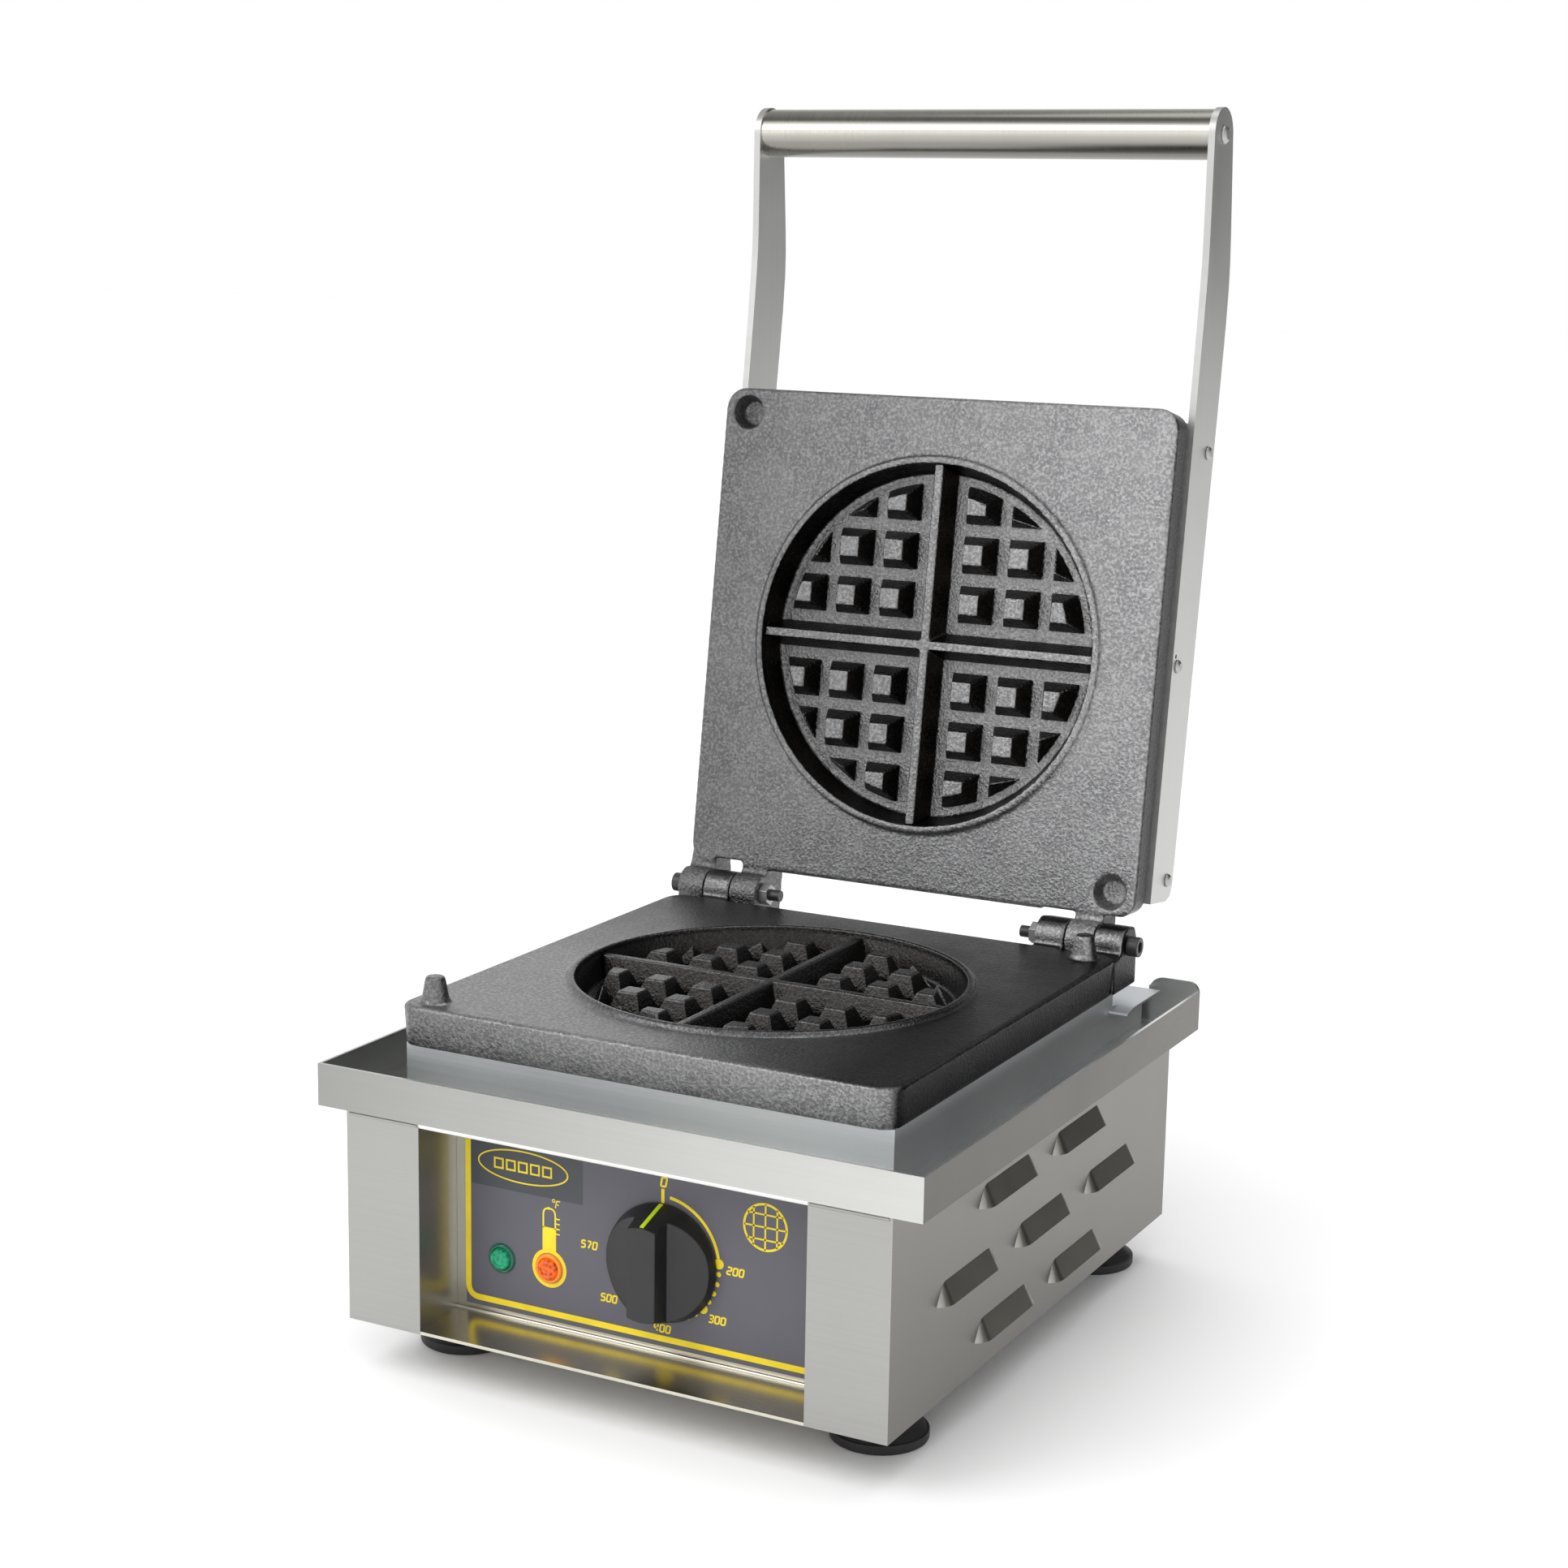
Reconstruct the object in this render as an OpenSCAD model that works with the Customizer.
// Countertop waffle maker: heated base, hinged cast iron plates and a lid with a bow handle.
// Own frame: millimetres, +X right, +Y to the back, +Z up, origin on the table under the middle.
// Every part is drawn with the tray front at y = 0 and moved by place().

/* [View] */
// Sub-part to show, or all
// Smoothness of round faces
$fn = 72; // [24:4:120]

/* [Lid] */
// Angle between the closed lid and the lid as drawn, degrees
open_angle = 98; // [0:1:98]

/* [Tray and body] */
// Width of the tray, mm
tray_width = 305; // [250:1:400]
// Depth of the tray, mm
tray_depth = 327; // [280:1:420]
// Height of the tray rim, mm
rim_height = 20; // [10:1:40]
// Top of the tray rim above the table, mm
rim_top = 143.3; // [100:0.1:200]
// Sheet of the tray, mm
tray_sheet = 1.5; // [0.8:0.1:3]
// Width of the body, mm
body_width = 276; // [220:1:360]
// Depth of the body, mm
body_depth = 324; // [260:1:400]
// Front face of the body behind the tray front, mm
body_front = 2; // [0:0.5:10]
// Underside of the body above the table, mm
body_bottom = 22.5; // [10:0.5:50]
// Sheet of the body, mm
sheet = 1.2; // [0.8:0.1:2]
// Half width of the opening in front of the controls, mm
recess_half = 98.5; // [60:0.5:120]
// Depth of the control recess from the body front, mm
recess_depth = 30; // [10:1:60]

/* [Plates] */
// Side of each square cast plate, mm
plate_size = 254; // [200:1:300]
// Thickness of each plate, mm
plate_thick = 19; // [14:1:30]
// Plate front behind the tray front, mm
plate_front = 24.5; // [10:0.5:50]
// Face of the lower plate above the table, mm
plate_top = 169.1; // [120:0.1:240]
// How much narrower the plate is at its back, each side, mm
plate_draft = 1.2; // [0:0.1:3]
// Corner radius of a plate, mm
plate_corner = 11; // [4:1:30]
// Radius of the round cavity at the face, mm
cavity_radius = 93.2; // [60:0.1:110]
// Depth of the cavity, mm
cavity_depth = 12; // [6:0.5:16]
// Height of the ring round the cavity, mm
ring_height = 2.4; // [0:0.1:4]
// Width of that ring, mm
ring_width = 3.9; // [1:0.1:8]
// Spacing of the grid, mm
grid_pitch = 25.4; // [15:0.1:40]
// First row of studs from the middle, mm
grid_first = 22.45; // [10:0.05:40]
// Width of a stud at its foot, mm
stud_base = 19.7; // [8:0.1:30]
// Width of a stud at its top, mm
stud_tip = 10.3; // [2:0.1:20]
// Stud tops and rib tops below the face, mm
stud_drop = 0.7; // [0:0.1:4]

/* [Hinge] */
// Hinge axis behind the plate's back edge, mm
hinge_back = 12; // [10:0.1:20]
// Hinge axis above the lower plate's face, mm
hinge_up = 2.6; // [1:0.1:6]
// Radius of a hinge knuckle, mm
knuckle_radius = 9.5; // [6:0.1:14]
// Inner end of each hinge from the middle, mm
hinge_inner = 80; // [40:0.5:110]
// Gap between two knuckles, mm
knuckle_gap = 0.5; // [0.2:0.1:2]
// Radius of a hinge bolt, mm
bolt_radius = 3; // [2:0.1:5]
// Radial play of a turning part on its pin, mm
running_fit = 0.06; // [0.01:0.01:0.1]

/* [Handle] */
// Inner face of each arm from the middle, mm
arm_inner = 125; // [100:0.5:150]
// Thickness of each arm, mm
arm_thick = 3.5; // [2:0.5:8]
// Radius of the handle tube, mm
tube_radius = 12.4; // [8:0.1:20]

/* [Controls] */
// Knob axis to the right of the middle, mm
knob_x = 12; // [-60:1:60]
// Knob axis above the table, mm
knob_z = 69.3; // [40:0.1:110]
// Radius of the knob at the panel, mm
knob_radius = 27.5; // [15:0.5:40]
// Length of the knob, mm
knob_length = 19.5; // [10:0.5:40]

/* [Hidden] */
eps = 0.01;
shift_y = 194.9;                               // puts the origin under the middle of the box
steel = [0.74, 0.74, 0.72];
steel_dark = [0.6, 0.6, 0.6];
iron = [0.2, 0.2, 0.2];
black = [0.07, 0.07, 0.07];
body_half = body_width / 2;
tray_half = tray_width / 2;
body_top = rim_top - rim_height;               // top of the body, underside of the tray
body_back = body_front + body_depth;
panel_y = body_front + recess_depth;           // front face of the control panel
rail_z = 121.4;                                // underside of the rail above the recess
// louvres
hood_out = 5;                                  // how far a hood stands out
hood_high = 9.6;                               // height of a hood on the panel
hood_half = 22.5;                              // half of the straight part
hood_depth = 1;                                // sheet of a hood
louvre_pitch = 41.7;                           // spacing along the side
louvre_rows = [108.7, 77.3, 46.1];             // top of each row
louvre_mid = 162;                              // middle of the pattern
// feet
foot_x = 108.7;
foot_y = [55.1, 300.7];
foot_radius = 22.2;
foot_edge = 4.7;
// tray and skirt
tray_floor = body_top + tray_sheet;
ear_top = rim_top + 4.8;                       // raised back corners of the tray
ear_inner = 125.6;
back_rim = rim_top - 5;                        // tray back between the ears
skirt_half = 124.5;
skirt_front = 30;
skirt_back = 320;
skirt_step = 278;                              // behind this the skirt is low
skirt_low = rim_top - 0.3;
plate_bottom = plate_top - plate_thick;
plate_half = plate_size / 2;
ring_centre = plate_front + plate_half;
// hinge
axis_y = plate_front + plate_size + hinge_back;
axis_z = plate_top + hinge_up;
lid_face = plate_top + 2 * hinge_up;           // face of the closed upper plate
knuckle_pitch = (plate_half - hinge_inner) / 3;
lug_back = 12;                                 // lug behind the axis
bore = bolt_radius + running_fit;
head_radius = 5;
head_high = 6;
nut_flat = 10;
nut_high = 5;
// locating pins
pin_x = 113.2;
pin_y = 114.3;
pin_high = 12.2;
// cavity
wall_slope = 0.375;
rib_tip = 2.1;                                 // half width of a rib top
rib_slope = 0.42;
clip_top = 78.7;                               // studs end on this radius at their tops
clip_floor = 84.5;
// lid
casing_front = 30;                             // closed y of the casing front wall
casing_back = 269;
casing_deep = 30;                              // casing behind the plate's back
arm_low = 271;
tube_s = -112.6;                               // closed y of the handle tube
tube_n = 23;                                   // handle tube behind the upper face
lid_back = lid_face + plate_thick;             // closed z of the upper plate's back
// element
element_radius = 4;
element_loop = 66;
stud_spot = 104;                               // plate supports from the middle, both ways
lid_stud_spot = 100;

module place() { translate([0, -shift_y, 0]) children(); }

// closed lid coordinates to the lid as drawn
module lid_open() {
    place() translate([0, axis_y, axis_z]) rotate([-open_angle, 0, 0])
        translate([0, -axis_y, -axis_z]) children();
}

// cylinder along +X from x0 to x1
module rod_x(r, x0, x1) { translate([x0, 0, 0]) rotate([0, 90, 0]) cylinder(r = r, h = x1 - x0); }

// cylinder along +Y from y0 to y1
module rod_y(r, y0, y1) { translate([0, y0, 0]) rotate([-90, 0, 0]) cylinder(r = r, h = y1 - y0); }

module box(x0, x1, y0, y1, z0, z1) { translate([x0, y0, z0]) cube([x1 - x0, y1 - y0, z1 - z0]); }

module both() { children(); mirror([1, 0, 0]) children(); }

// profile given as [y, z] points, extruded from x0 to x1
module slab_x(points, x0, x1) {
    translate([x0, 0, 0]) rotate([90, 0, 90]) linear_extrude(height = x1 - x0) polygon(points);
}

// profile given as [x, z] points, extruded from y0 to y1
module slab_y(points, y0, y1) {
    translate([0, y1, 0]) rotate([90, 0, 0]) linear_extrude(height = y1 - y0) polygon(points);
}

// ---- body -------------------------------------------------------------------------------

// rows of louvre middles as [y, z]
louvres = [
    [louvre_mid - louvre_pitch, louvre_rows[0]], [louvre_mid + louvre_pitch, louvre_rows[0]],
    [louvre_mid - 2 * louvre_pitch, louvre_rows[1]], [louvre_mid, louvre_rows[1]],
    [louvre_mid + 2 * louvre_pitch, louvre_rows[1]],
    [louvre_mid - louvre_pitch, louvre_rows[2]], [louvre_mid + louvre_pitch, louvre_rows[2]]];

// tent with round ends, standing on z = 0, ridge on the Y axis
module tent(r, h, half) {
    slab_y([[-r, 0], [r, 0], [0, h]], -half, half);
    for (s = [-1, 1]) translate([0, s * half, 0]) cylinder(r1 = r, r2 = 0, h = h);
}

module hood() {
    base = 2 * hood_out;
    high = 2 * hood_high;
    intersection() {
        difference() {
            translate([-hood_out, 0, 0]) tent(base, high, hood_half);
            translate([-hood_out - hood_depth, 0, -eps]) tent(base, high, hood_half);
        }
        box(0, hood_out + 1, -hood_half - base, hood_half + base, 0, high);
    }
}

module side_louvres() {
    color(steel) place() both() for (p = louvres)
        translate([body_half, p[0], p[1] - hood_high]) hood();
}

// side wall, front post and recess return folded from one sheet, right hand
module body_side() {
    difference() {
        union() {
            box(body_half - sheet, body_half, body_front, body_back, body_bottom, body_top);
            box(recess_half, body_half - sheet + eps, body_front, body_front + sheet,
                body_bottom, body_top);
            box(recess_half, recess_half + sheet, body_front + sheet - eps, panel_y + sheet,
                body_bottom, body_top);
            // bead pressed along the top of the post
            translate([0, body_front + 0.25, body_top - 1.7]) rod_x(0.8, recess_half + 0.8, body_half - 1.5);
        }
        for (p = louvres)
            box(body_half - sheet - 1, body_half + 1, p[0] - hood_half, p[0] + hood_half,
                p[1] - hood_high + 0.4, p[1] - 4.2);
    }
}

module body_side_right() { color(steel) place() body_side(); }

module body_side_left() { color(steel) place() mirror([1, 0, 0]) body_side(); }

// folded rail over the control recess, with its beaded lower edge
module front_rail() {
    color(steel) place() {
        box(-recess_half, recess_half, body_front, body_front + sheet, rail_z, body_top);
        translate([0, body_front + 1.3, rail_z]) rod_x(1.1, -recess_half, recess_half);
    }
}

module back_panel() {
    wide = body_half - sheet;
    color(steel) place() difference() {
        box(-wide, wide, body_back - sheet, body_back, body_bottom, body_top);
        translate([-gland_x, 0, gland_z]) rod_y(gland_radius + 0.1, body_back - 2 * sheet, body_back + 1);
        for (x = [20 : 12 : 92]) box(x - 2, x + 2, body_back - 2 * sheet, body_back + 1, 55, 95);
    }
}

module base_plate() {
    color(steel_dark) place() difference() {
        union() {
            box(-body_half + sheet, body_half - sheet, panel_y + sheet, body_back - sheet,
                body_bottom, body_bottom + sheet);
            both() box(recess_half + sheet, body_half - sheet, body_front + sheet, panel_y + 2 * sheet,
                body_bottom, body_bottom + sheet);
        }
        both() for (y = foot_y) translate([foot_x, y, body_bottom - 1]) cylinder(r = 4.3, h = 4);
        for (x = [-60 : 15 : 60]) box(x - 3, x + 3, 120, 210, body_bottom - 1, body_bottom + 3);
    }
}

module feet() {
    color(black) place() both() for (y = foot_y) translate([foot_x, y, 0]) difference() {
        union() {
            cylinder(r1 = foot_radius - 0.8, r2 = foot_radius, h = 0.8);
            translate([0, 0, 0.8]) cylinder(r = foot_radius, h = foot_edge - 0.8);
            translate([0, 0, foot_edge]) cylinder(r1 = foot_radius - 1, r2 = 12, h = 8);
            translate([0, 0, foot_edge + 8]) cylinder(r = 12, h = body_bottom - foot_edge - 8);
        }
        translate([0, 0, 3]) cylinder(r = 6.8, h = 4.2);
        translate([0, 0, 3]) cylinder(r = 4.2, h = body_bottom);
    }
}

module foot_bolts() {
    color(steel_dark) place() both() for (y = foot_y) translate([foot_x, y, 0]) {
        translate([0, 0, 3.2]) cylinder(r = 6.5, h = 3.8);
        translate([0, 0, 7]) cylinder(r = 4, h = body_bottom + sheet + 8 - 7);
        translate([0, 0, body_bottom + sheet]) cylinder(r = 7.5, h = 6.4, $fn = 6);
    }
}

// ---- tray and skirt ---------------------------------------------------------------------

module drip_tray() {
    color(steel) place() difference() {
        union() {
            difference() {
                box(-tray_half, tray_half, 0, tray_depth, body_top, rim_top);
                box(-tray_half + tray_sheet, tray_half - tray_sheet, tray_sheet, tray_depth - tray_sheet,
                    tray_floor, rim_top + 1);
            }
            both() {
                box(ear_inner + 8, tray_half - 6, tray_depth - tray_sheet, tray_depth, rim_top - 1, ear_top);
                translate([ear_inner + 8, tray_depth, ear_top - 8]) rotate([90, 0, 0])
                    cylinder(r = 8, h = tray_sheet);
                translate([tray_half - 6, tray_depth, ear_top - 6]) rotate([90, 0, 0])
                    cylinder(r = 6, h = tray_sheet);
            }
        }
        box(-ear_inner, ear_inner, tray_depth - 2 * tray_sheet, tray_depth + 1, back_rim, rim_top + 10);
        box(-skirt_half + 3, skirt_half - 3, skirt_front + 3, skirt_back - 3, body_top - 1, tray_floor + 1);
    }
}

module skirt() {
    color(steel) place() {
        difference() {
            union() {
                box(-skirt_half, skirt_half, skirt_front, skirt_back, tray_floor, skirt_low);
                box(-skirt_half, skirt_half, skirt_front, skirt_step, tray_floor, plate_bottom);
            }
            box(-skirt_half + sheet, skirt_half - sheet, skirt_front + sheet, skirt_back - sheet,
                tray_floor - 1, skirt_low - sheet);
            box(-skirt_half + sheet, skirt_half - sheet, skirt_front + sheet, skirt_step - sheet,
                tray_floor - 1, plate_bottom - sheet);
            box(-skirt_half + 12, skirt_half - 12, skirt_front + 12, skirt_step - 12,
                skirt_low, plate_bottom + 1);
        }
        both() slab_x([[skirt_step - 4, skirt_low - 2.6], [skirt_step + 6, skirt_low - sheet],
            [skirt_back, skirt_low - sheet], [skirt_back, skirt_low], [skirt_step + 5, skirt_low],
            [skirt_step - 4, skirt_low - 1.4]], skirt_half, skirt_half + 9.5);
    }
}

module heat_shield() {
    color(steel_dark) place() difference() {
        box(-skirt_half + sheet, skirt_half - sheet, skirt_front + sheet, skirt_back - sheet,
            tray_floor, tray_floor + 0.8);
        for (x = [-1, 1]) translate([x * 12, ring_centre + element_loop, tray_floor - 1])
            cylinder(r = element_radius + 1, h = 3);
    }
}

// ---- cast plates ------------------------------------------------------------------------

// drafted square block, face on z = 0, back on z = -plate_thick, front edge on y = 0
module block() {
    a = plate_half;
    d = plate_draft;
    r = plate_corner;
    c = 1.4;                                   // bevel round the face
    t = plate_thick;
    side = [[-a + c, 0], [a - c, 0], [a, -c], [a - d, -t], [-a + d, -t], [-a, -c]];
    translate([0, a, 0]) {
        slab_y(side, -a + r, a - r);
        rotate([0, 0, 90]) slab_y(side, -a + r, a - r);
        for (x = [-1, 1], y = [-1, 1]) translate([x * (a - r), y * (a - r), 0]) {
            translate([0, 0, -c]) cylinder(r1 = r, r2 = r - c, h = c);
            translate([0, 0, -t]) cylinder(r1 = r - d, r2 = r, h = t - c);
        }
    }
}

// knuckle with its lug, from x0 to x1
module knuckle(x0, x1) {
    y = plate_size + hinge_back;
    translate([0, y, hinge_up]) rod_x(knuckle_radius, x0, x1);
    slab_x([[plate_size - 6, -plate_thick], [y + lug_back, -plate_thick], [y + lug_back, hinge_up + 2],
        [y + lug_back - 3, hinge_up + knuckle_radius - 1.6], [y + 4, hinge_up + knuckle_radius - 0.9],
        [y, hinge_up], [plate_size - 6, -2]], x0, x1);
}

function knuckle_x0(i) = hinge_inner + i * knuckle_pitch + (i > 0 ? knuckle_gap / 2 : 0);
function knuckle_x1(i) = hinge_inner + (i + 1) * knuckle_pitch - (i < 2 ? knuckle_gap / 2 : 0);

// one stud of the grid, standing on z = 0
module stud() {
    h = cavity_depth - stud_drop;
    side = [[-stud_base / 2, 0], [stud_base / 2, 0], [stud_tip / 2, h], [-stud_tip / 2, h]];
    intersection() {
        slab_y(side, -stud_base, stud_base);
        rotate([0, 0, 90]) slab_y(side, -stud_base, stud_base);
    }
}

// the studs, cut to a round outline by a cone
module grid() {
    h = cavity_depth - stud_drop;
    rows = [grid_first, grid_first + grid_pitch, grid_first + 2 * grid_pitch];
    intersection() {
        union() for (i = [0 : 2], j = [0 : 2], m = [-1, 1], n = [-1, 1])
            if (i + j < 4) translate([m * rows[i], n * rows[j], 0]) stud();
        cylinder(r1 = clip_floor, r2 = clip_top, h = h);
    }
}

// one rib through the middle of the cavity, its ends cut to the wall, grown by more on each side
module rib(more) {
    h = cavity_depth - stud_drop + 0.4;
    foot = rib_tip + rib_slope * h + more;
    r = cavity_radius - 0.05;
    intersection() {
        slab_y([[-foot, 0], [foot, 0], [rib_tip + more, h], [-rib_tip - more, h]],
            -cavity_radius, cavity_radius);
        cylinder(r1 = r - wall_slope * cavity_depth, r2 = r - wall_slope * (cavity_depth - h), h = h);
    }
}

// one long rib and two short ones, a hair apart so that each stays a convex solid
module cross_ribs() {
    rib(0);
    difference() {
        rotate([0, 0, 90]) rib(0);
        rib(0.02);
    }
}

module ring() {
    r = cavity_radius;
    w = ring_width;
    translate([0, 0, -1]) difference() {
        union() {
            cylinder(r = r + w, h = ring_height);
            translate([0, 0, ring_height]) cylinder(r1 = r + w, r2 = r + w - 1, h = 1);
        }
        translate([0, 0, -1]) cylinder(r = r, h = ring_height + 3);
    }
}

// one casting, face up; right hinge has the outer knuckles, left hinge the middle one
module casting() {
    difference() {
        union() {
            block();
            knuckle(knuckle_x0(0), knuckle_x1(0));
            knuckle(knuckle_x0(2), knuckle_x1(2) - 0.2);
            knuckle(-knuckle_x1(1), -knuckle_x0(1));
            translate([0, plate_half, 0]) ring();
        }
        translate([0, plate_half, -cavity_depth])
            cylinder(r1 = cavity_radius - wall_slope * cavity_depth, r2 = cavity_radius, h = cavity_depth);
        translate([0, plate_half, -eps]) cylinder(r = cavity_radius, h = 5);
        // clearance for the knuckles of the other casting
        box(knuckle_x0(1) - 0.6, knuckle_x1(1) + 0.6, plate_size - 3.5, plate_size + 1,
            -plate_thick - 1, 1);
        box(-knuckle_x1(0) - 0.6, -knuckle_x0(0) + 3, plate_size - 1.2, plate_size + 1,
            -plate_thick - 1, 1);
        box(-plate_half - 1, -knuckle_x0(2) + 0.6, plate_size - 1.2, plate_size + 1,
            -plate_thick - 1, 1);
        translate([0, plate_size + hinge_back, hinge_up]) {
            rod_x(bore, hinge_inner - 1, plate_half + 1);
            rod_x(bore, -plate_half - 1, -hinge_inner + 1);
        }
    }
}

// studs and ribs standing on the cavity floor
module casting_grid() {
    translate([0, plate_half, -cavity_depth]) {
        grid();
        cross_ribs();
    }
}

module lower_grid() { color(iron) place() translate([0, plate_front, plate_top]) casting_grid(); }

module upper_grid() {
    color(iron) lid_open() translate([0, plate_front, lid_face]) rotate([0, 180, 0]) casting_grid();
}

module lower_plate() {
    color(iron) place() translate([0, plate_front, plate_top]) {
        casting();
        for (s = [-1, 1]) translate([s * pin_x, plate_half + s * pin_y, 0]) {
            cylinder(r = 6.9, h = 0.8);
            translate([0, 0, 0.8]) cylinder(r1 = 6.6, r2 = 4.6, h = pin_high - 1.6);
            translate([0, 0, pin_high - 0.8]) cylinder(r1 = 4.6, r2 = 3.9, h = 0.8);
        }
    }
}

module upper_plate() {
    color(iron) lid_open() translate([0, plate_front, lid_face]) rotate([0, 180, 0]) difference() {
        casting();
        for (s = [-1, 1]) translate([-s * pin_x, plate_half + s * pin_y, 0]) {
            translate([0, 0, -9.5]) cylinder(r = 5.8, h = 9);
            translate([0, 0, -9.5]) cylinder(r1 = 6.4, r2 = 9, h = 9.5 + eps);
        }
    }
}

// bolts that hold the lower plate down on the tray
module lower_studs() {
    color(steel_dark) place() for (x = [-1, 1], y = [-1, 1])
        translate([x * stud_spot, ring_centre + y * stud_spot, 0]) {
            translate([0, 0, tray_floor + 0.8]) cylinder(r = 4, h = plate_bottom - tray_floor - 0.8);
            translate([0, 0, tray_floor + 0.8]) cylinder(r = 7, h = 5, $fn = 6);
        }
}

module lid_studs() {
    color(steel_dark) lid_open() for (x = [-1, 1], y = [-1, 1])
        translate([x * lid_stud_spot, ring_centre + y * lid_stud_spot, lid_back]) {
            cylinder(r = 4, h = casing_deep - sheet);
            translate([0, 0, casing_deep]) cylinder(r1 = 6.5, r2 = 5, h = 2.6);
            translate([0, 0, casing_deep - sheet]) cylinder(r = 4, h = sheet + 0.5);
        }
}

// ring tube with two legs; legs run from z = 0 down to z = -leg
module element(leg) {
    rotate_extrude() translate([element_loop, 0]) circle(r = element_radius);
    for (x = [-1, 1]) rotate([0, 0, 90 + x * 10]) translate([element_loop, 0, -leg])
        cylinder(r = element_radius - 0.2, h = leg);
    for (x = [-1, 1]) rotate([0, 0, 90 + x * 10]) translate([element_loop, 0, -leg - 9])
        cylinder(r = 1.6, h = 9.5);
}

module lower_element() {
    color(steel_dark) place() translate([0, ring_centre, plate_bottom - element_radius - 0.3])
        element(28);
}

module upper_element() {
    color(steel_dark) lid_open() translate([0, ring_centre, lid_back + element_radius + 0.3])
        rotate([0, 180, 0]) element(10);
}

// ---- controls ---------------------------------------------------------------------------

lamp_y = panel_y - 0.5;
lamp_z = 54.6;
green_x = -73.3;
orange_x = -47.8;
label_half = 93;
label_z0 = 29.5;
label_z1 = 118;
lip = [[body_front, body_bottom], [panel_y + sheet, 25], [panel_y + sheet, body_top], [panel_y, body_top],
    [panel_y, 26.6], [body_front, 24]];

module front_panel() {
    color(steel) place() difference() {
        union() {
            slab_x(lip, -recess_half, recess_half);
            translate([0, panel_y - 0.6, 26.6]) rod_x(1.3, -recess_half, recess_half);
        }
        translate([knob_x, 0, knob_z]) rod_y(5.2, panel_y - 1, panel_y + 3);
        for (x = [green_x, orange_x]) translate([x, 0, lamp_z]) rod_y(5.2, panel_y - 1, panel_y + 3);
    }
}

module control_label() {
    color([0.43, 0.42, 0.46]) place() difference() {
        box(-label_half, label_half, lamp_y, panel_y, label_z0, label_z1);
        translate([knob_x, 0, knob_z]) rod_y(5.4, panel_y - 2, panel_y + 3);
        for (x = [green_x, orange_x]) translate([x, 0, lamp_z]) rod_y(5.4, panel_y - 2, panel_y + 3);
    }
}

module thermostat() {
    color(steel_dark) place() translate([knob_x, 0, knob_z]) difference() {
        union() {
            rod_y(4.9, panel_y - 3, panel_y + sheet + 1);
            rod_y(8, panel_y + sheet, panel_y + sheet + 2);
            translate([0, panel_y + sheet + 2 + 15, 0]) cube([38, 30, 44], center = true);
            translate([0, panel_y + sheet + 30, -22]) mirror([0, 0, 1]) cylinder(r = 2, h = 6);
        }
        rod_y(3 + running_fit, panel_y - 4, panel_y + 24);
    }
}

module control_shaft() {
    color(steel_dark) place() translate([knob_x, 0, knob_z]) difference() {
        rod_y(3, panel_y - 14, panel_y + 20);
        box(-4, 4, panel_y - 15, panel_y - 5, 1.6, 4);
    }
}

knob_back = panel_y - 1;
knob_front = knob_back - knob_length;
ridge_half = 7;
scoop_inner = knob_back - 10.6;                 // scoop beside the ridge
scoop_outer = knob_back - 5.4;                  // scoop at the rim

module knob() {
    color(black) place() translate([knob_x, 0, knob_z]) difference() {
        translate([0, knob_back, 0]) rotate([90, 0, 0]) {
            cylinder(r = knob_radius, h = 1.5);
            translate([0, 0, 1.5]) cylinder(r1 = knob_radius, r2 = 21.7, h = knob_length - 1.5);
        }
        for (m = [-1, 1]) linear_cut(m);
        rod_y(3.03, panel_y - 14.5, panel_y);
        rod_y(6, panel_y - 4.5, panel_y);
    }
}

// space beside the ridge, with a leaning wall
module linear_cut(m) {
    translate([0, 0, -40]) linear_extrude(height = 80)
        polygon([[m * ridge_half, knob_front - 1], [m * (ridge_half + 1.2), scoop_inner],
            [m * 24.5, scoop_outer], [m * 40, scoop_outer], [m * 40, knob_front - 1]]);
}

// inlaid line on the upper slope, from the ridge to the rim
module knob_pointer() {
    lean = atan2(knob_radius - 21.7, knob_length - 1.5);
    color([0.75, 0.86, 0.1]) place() translate([knob_x, knob_back - 1.5, knob_z + knob_radius])
        rotate([lean, 0, 0]) translate([0, -9.1, 0.21]) cube([1.9, 17.6, 0.4], center = true);
}

module lamp(x) {
    translate([x, 0, lamp_z]) {
        rod_y(7, lamp_y - 1.4, lamp_y);
        translate([0, lamp_y - 1.4, 0]) rotate([90, 0, 0]) cylinder(r1 = 5.4, r2 = 4.2, h = 2.4);
        rod_y(4.9, lamp_y, panel_y + sheet + 4);
    }
}

module lamp_green() { color([0.05, 0.6, 0.35]) place() lamp(green_x); }

module lamp_orange() { color([1, 0.35, 0.05]) place() lamp(orange_x); }

module lamp_housings() {
    color([0.9, 0.9, 0.88]) place() for (x = [green_x, orange_x]) translate([x, 0, lamp_z]) {
        rod_y(7, panel_y + sheet + 4, panel_y + sheet + 24);
        for (m = [-1, 1]) translate([m * 3, 0, 0]) box(-0.4, 0.4, panel_y + sheet + 24,
            panel_y + sheet + 32, -2.4, 2.4);
    }
}

gland_x = 92;
gland_z = 48;
gland_radius = 8;

module cable_gland() {
    color(black) place() translate([-gland_x, 0, gland_z]) difference() {
        union() {
            rod_y(gland_radius, body_back - sheet - 8, body_back + 1);
            rod_y(11, body_back, body_back + 5);
            rod_y(9, body_back + 5, body_back + 13);
            rod_y(11.5, body_back - sheet - 6, body_back - sheet);
        }
        rod_y(4, body_back - 20, body_back + 20);
    }
}

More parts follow.
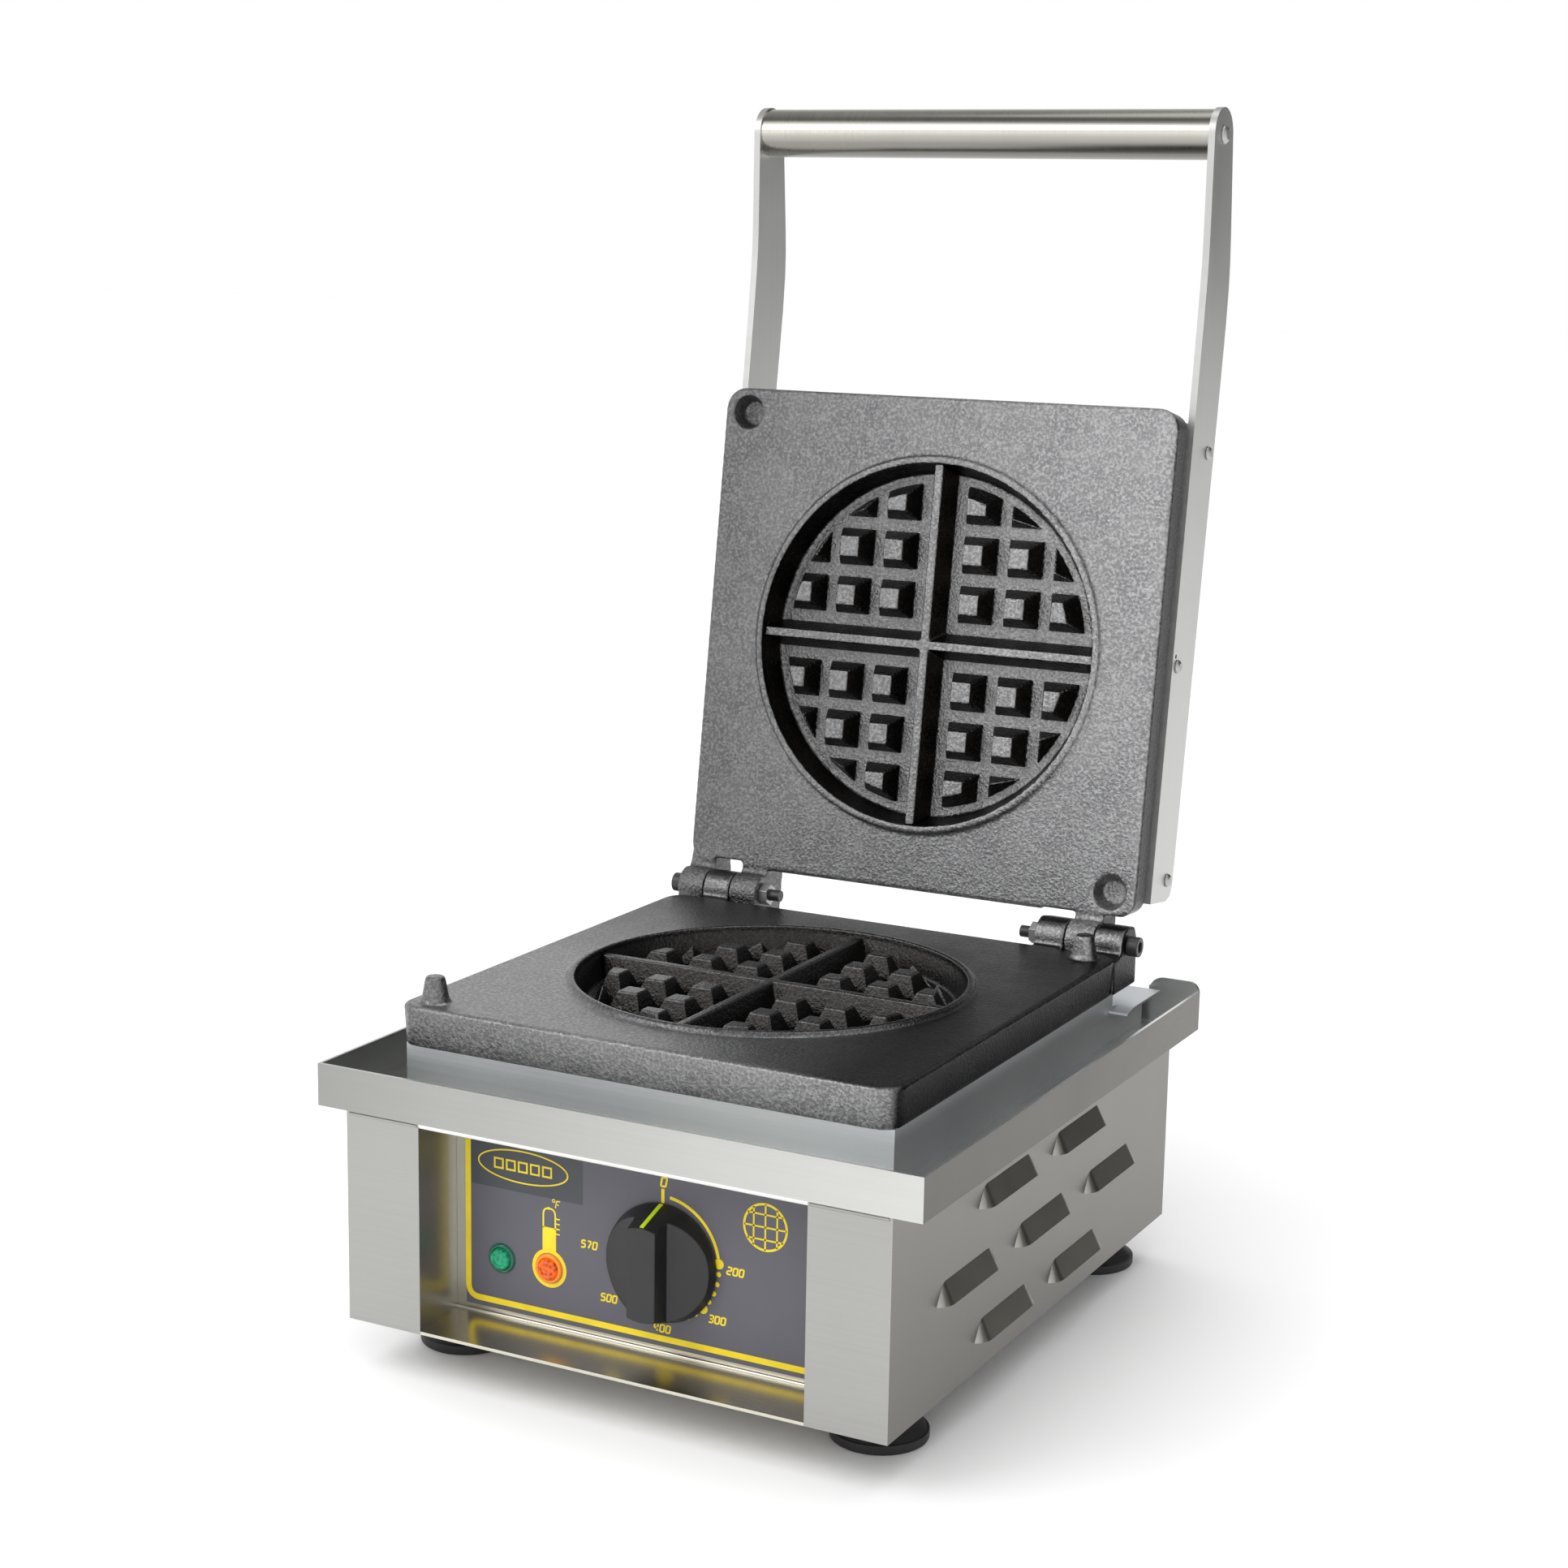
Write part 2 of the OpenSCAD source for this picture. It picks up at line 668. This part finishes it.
module terminal_block() {
    color([0.92, 0.9, 0.85]) place() translate([-70, 250, body_bottom + sheet]) difference() {
        box(-24, 24, -10, 10, 0, 18);
        for (x = [-16, 0, 16]) translate([x, 0, 8]) rod_y(2.6, -11, 11);
        for (x = [-16, 0, 16], y = [-5, 5]) translate([x, y, 12]) cylinder(r = 2.2, h = 8);
    }
}

// ---- hinge fasteners --------------------------------------------------------------------

module hinge_bolt() {
    rod_x(bolt_radius, hinge_inner - 11, plate_half);
    difference() {
        rod_x(head_radius, plate_half, plate_half + head_high);
        translate([plate_half + 3, 0, 0]) rotate([0, 90, 0]) cylinder(r = 2.9, h = 4, $fn = 6);
    }
}

module hinge_nut() {
    translate([hinge_inner - nut_high, 0, 0]) rotate([0, 90, 0]) difference() {
        cylinder(r = nut_flat / sqrt(3), h = nut_high, $fn = 6);
        translate([0, 0, -1]) cylinder(r = bolt_radius + 0.02, h = nut_high + 2);
    }
}

module hinge_bolt_right() { color(black) place() translate([0, axis_y, axis_z]) hinge_bolt(); }
module hinge_nut_right() { color(steel) place() translate([0, axis_y, axis_z]) hinge_nut(); }
module hinge_bolt_left() {
    color(black) place() translate([0, axis_y, axis_z]) mirror([1, 0, 0]) hinge_bolt();
}
module hinge_nut_left() {
    color(steel) place() translate([0, axis_y, axis_z]) mirror([1, 0, 0]) hinge_nut();
}

// ---- lid --------------------------------------------------------------------------------

module lid_casing() {
    z1 = lid_back + casing_deep;
    color(steel) lid_open() difference() {
        box(-arm_inner, arm_inner, casing_front, casing_back, lid_back, z1);
        box(-arm_inner + sheet, arm_inner - sheet, casing_front + sheet, casing_back - sheet,
            lid_back - 1, z1 - sheet);
        for (x = [-1, 1], y = [-1, 1]) translate([x * lid_stud_spot, ring_centre + y * lid_stud_spot, z1 - 3])
            cylinder(r = 4.2, h = 5);
        translate([0, casing_back - 40, z1 - 3]) cylinder(r = 8.1, h = 5);
    }
}

// gland for the flexible lead between base and lid
module lid_gland() {
    color(black) lid_open() translate([0, casing_back - 40, lid_back + casing_deep]) difference() {
        union() {
            cylinder(r = 11, h = 4);
            cylinder(r = 9, h = 9);
            translate([0, 0, -sheet - 5]) cylinder(r = 8, h = sheet + 6);
        }
        translate([0, 0, -10]) cylinder(r = 4, h = 30);
    }
}

// outline of an arm in closed lid coordinates, z counted from the upper face
arm_line = [[arm_low, plate_thick], [8, plate_thick], [-20, 18.7], [-38, 18.3], [-50, 17.7],
    [-62, 16.4], [-109.7, 10], [-115.5, 36], [-66, 46.9], [-53, 49.4], [-40, 50.9], [-22, 51.6],
    [0, 51.6], [arm_low - 8, 49], [arm_low - 2.4, 46.6], [arm_low, 41]];

module arm() {
    difference() {
        union() {
            translate([0, 0, lid_face]) slab_x(arm_line, arm_inner, arm_inner + arm_thick);
            translate([0, tube_s, lid_face + tube_n]) rod_x(13.3, arm_inner, arm_inner + arm_thick);
        }
        translate([0, tube_s, lid_face + tube_n]) rod_x(3.1, arm_inner - 1, arm_inner + arm_thick + 1);
        for (p = screw_spots) translate([0, p[0], lid_face + p[1]])
            rod_x(2.1, arm_inner - 1, arm_inner + arm_thick + 1);
        translate([0, 146, lid_face + 23]) rod_x(1.1, arm_inner - 1, arm_inner + arm_thick + 1);
    }
}

screw_spots = [[43, 42], [151, 26], [260, 40]];

module handle_arms() { color(steel) lid_open() both() arm(); }

module handle_tube() {
    color(steel) lid_open() translate([0, tube_s, lid_face + tube_n]) difference() {
        rod_x(tube_radius, -arm_inner, arm_inner);
        rod_x(tube_radius - 1.5, -arm_inner + 3, arm_inner - 3);
        rod_x(3.02, -arm_inner - 1, arm_inner + 1);
    }
}

// dome head screw along +X, seated on x = 0
module dome_screw(r, head, high, long) {
    rod_x(r, -long, 0);
    rotate([0, 90, 0]) {
        cylinder(r = head, h = high * 0.4);
        translate([0, 0, high * 0.4]) cylinder(r1 = head, r2 = head * 0.62, h = high * 0.6);
    }
}

module handle_bolts() {
    color(steel) lid_open() both() translate([arm_inner + arm_thick, tube_s, lid_face + tube_n])
        dome_screw(3, 4.6, 2.4, 16);
}

module arm_screws() {
    color(steel) lid_open() both() for (p = screw_spots)
        translate([arm_inner + arm_thick, p[0], lid_face + p[1]]) dome_screw(2, 3.4, 2, arm_thick);
}

body_side_right();
body_side_left();
front_rail();
back_panel();
side_louvres();
front_panel();
control_label();
base_plate();
feet();
foot_bolts();
drip_tray();
skirt();
heat_shield();
lower_plate();
lower_grid();
lower_studs();
lower_element();
thermostat();
control_shaft();
knob();
knob_pointer();
lamp_green();
lamp_orange();
lamp_housings();
cable_gland();
terminal_block();
hinge_bolt_right();
hinge_nut_right();
hinge_bolt_left();
hinge_nut_left();
upper_plate();
upper_grid();
upper_element();
lid_studs();
lid_casing();
lid_gland();
handle_arms();
handle_tube();
handle_bolts();
arm_screws();
